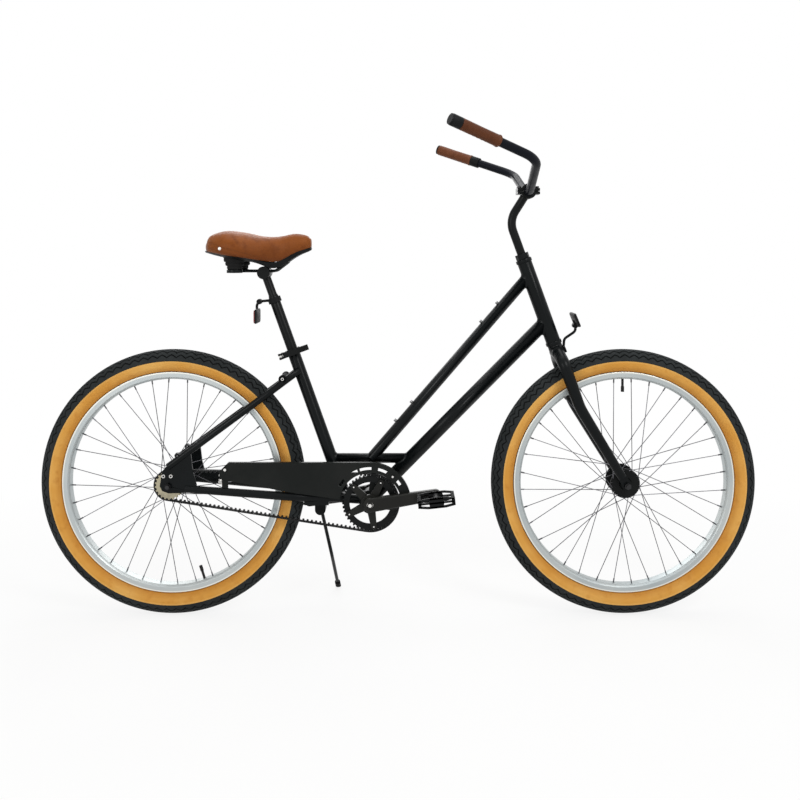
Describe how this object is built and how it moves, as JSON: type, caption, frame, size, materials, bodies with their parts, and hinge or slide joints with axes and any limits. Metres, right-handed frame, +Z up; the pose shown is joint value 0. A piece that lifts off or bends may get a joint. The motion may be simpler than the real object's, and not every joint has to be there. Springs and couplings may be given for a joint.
{
  "type": "beach cruiser bicycle",
  "caption": "Step-through beach cruiser bicycle with swept-back handlebar, balloon tyres, toothed belt drive, coaster brake, belt guard, kickstand and wide padded saddle.",
  "frame": {"origin": "on the ground, midway between the two axles, in the middle plane", "axes": "-Y is the way the bicycle rides, +X is the rider's left and +Z is up"},
  "size_m": [0.698, 1.858, 1.2549],
  "materials": {
    "frame_paint": "matte black powder coat",
    "black_alloy": "satin black anodised",
    "tyre": "black tread with golden tan sidewalls",
    "tube_rubber": "smooth",
    "rim_alloy": "pale satin",
    "steel": "bright zinc",
    "spoke_steel": "dark drawn wire",
    "cog_alloy": "satin",
    "belt": "matte, reinforced",
    "plastic": "fine grained",
    "rubber": "matte",
    "leather": "brown, grained, semi-matte",
    "red_lens": "faceted lens",
    "clear_lens": "faceted lens"
  },
  "bodies": {
    "frame": {"head_tube": "frame_paint", "top_tube": "frame_paint", "down_tube": "frame_paint", "seat_tube": "frame_paint", "cross_tube": "frame_paint", "bottom_bracket_shell": "frame_paint", "chainstays": "frame_paint", "seatstays": "frame_paint", "dropouts": "frame_paint", "frame_fasteners": "steel", "headset_cups": "frame_paint", "bottom_bracket_cups": "frame_paint", "belt_guard": "frame_paint", "drive_belt": "belt", "rear_axle": "steel", "brake_arm": "frame_paint", "seat_collar": "black_alloy", "kickstand_bracket": "frame_paint"},
    "seat": {"seatpost": "black_alloy", "saddle_clamp": "black_alloy", "saddle_rails": "frame_paint", "saddle_base": "plastic", "saddle_cushion": "leather", "saddle_bumpers": "rubber", "rear_reflector": "red_lens", "rear_reflector_bracket": "plastic"},
    "seat_lever": {"quick_release_lever": "black_alloy"},
    "steering": {"fork_steerer": "frame_paint", "fork_blades": "frame_paint", "headset_locknut": "frame_paint", "front_axle": "steel", "handlebar_stem": "black_alloy", "stem_clamp_cap": "black_alloy", "stem_bolts": "steel", "handlebar": "black_alloy", "grips": "leather", "grip_collars": "plastic", "front_reflector": "clear_lens", "front_reflector_bracket": "plastic"},
    "front_wheel": {"front_tyre": "tyre", "front_inner_tube": "tube_rubber", "front_rim": "rim_alloy", "front_spokes": "spoke_steel", "front_hub": "black_alloy"},
    "rear_wheel": {"rear_tyre": "tyre", "rear_inner_tube": "tube_rubber", "rear_rim": "rim_alloy", "rear_spokes": "spoke_steel", "rear_hub": "black_alloy"},
    "cog": {"rear_cog": "cog_alloy"},
    "crankset": {"crank_spindle": "steel", "right_crank": "black_alloy", "left_crank": "black_alloy", "belt_ring": "black_alloy", "crank_bolts": "steel", "pedal_axles": "steel"},
    "pedal_right": {"right_pedal": "plastic"},
    "pedal_left": {"left_pedal": "plastic"},
    "kickstand": {"kickstand_leg": "frame_paint", "kickstand_foot": "rubber"}
  },
  "joints": [
    {"name": "steering", "type": "hinge", "parent": "frame", "child": "steering", "pos_m": [0, -0.3295, 0.913], "axis": [0, 0.342, 0.9397], "range_deg": [-90, 90]},
    {"name": "front_wheel_spin", "type": "hinge", "parent": "steering", "child": "front_wheel", "pos_m": [0, -0.585, 0.344], "axis": [1, 0, 0], "continuous": true},
    {"name": "rear_wheel_spin", "type": "hinge", "parent": "frame", "child": "rear_wheel", "pos_m": [0, 0.585, 0.344], "axis": [1, 0, 0], "continuous": true},
    {"name": "crank_spin", "type": "hinge", "parent": "frame", "child": "crankset", "pos_m": [0, 0.07116, 0.299], "axis": [1, 0, 0], "continuous": true, "deforming": ["drive_belt"]},
    {"name": "rear_cog_spin", "type": "hinge", "parent": "frame", "child": "cog", "pos_m": [0, 0.585, 0.344], "axis": [1, 0, 0], "continuous": true},
    {"name": "right_pedal_spin", "type": "hinge", "parent": "crankset", "child": "pedal_right", "pos_m": [-0.119, -0.09478, 0.32528], "axis": [1, 0, 0], "continuous": true},
    {"name": "left_pedal_spin", "type": "hinge", "parent": "crankset", "child": "pedal_left", "pos_m": [0.119, 0.23709, 0.27272], "axis": [1, 0, 0], "continuous": true},
    {"name": "kickstand_fold", "type": "hinge", "parent": "frame", "child": "kickstand", "pos_m": [0.046, 0.205, 0.262], "axis": [1, 0, 0], "range_deg": [0, 100]},
    {"name": "seatpost_height", "type": "slide", "parent": "frame", "child": "seat", "axis": [0, 0.3387, 0.9409], "range_m": [-0.09, 0.05]},
    {"name": "seat_lever_open", "type": "hinge", "parent": "frame", "child": "seat_lever", "pos_m": [-0.027, 0.30199, 0.67078], "axis": [0, -0.3387, -0.9409], "range_deg": [0, 170]}
  ],
  "couplings": [
    {"joint": "rear_cog_spin", "follows": "crank_spin", "ratio": 1.9091}
  ]
}
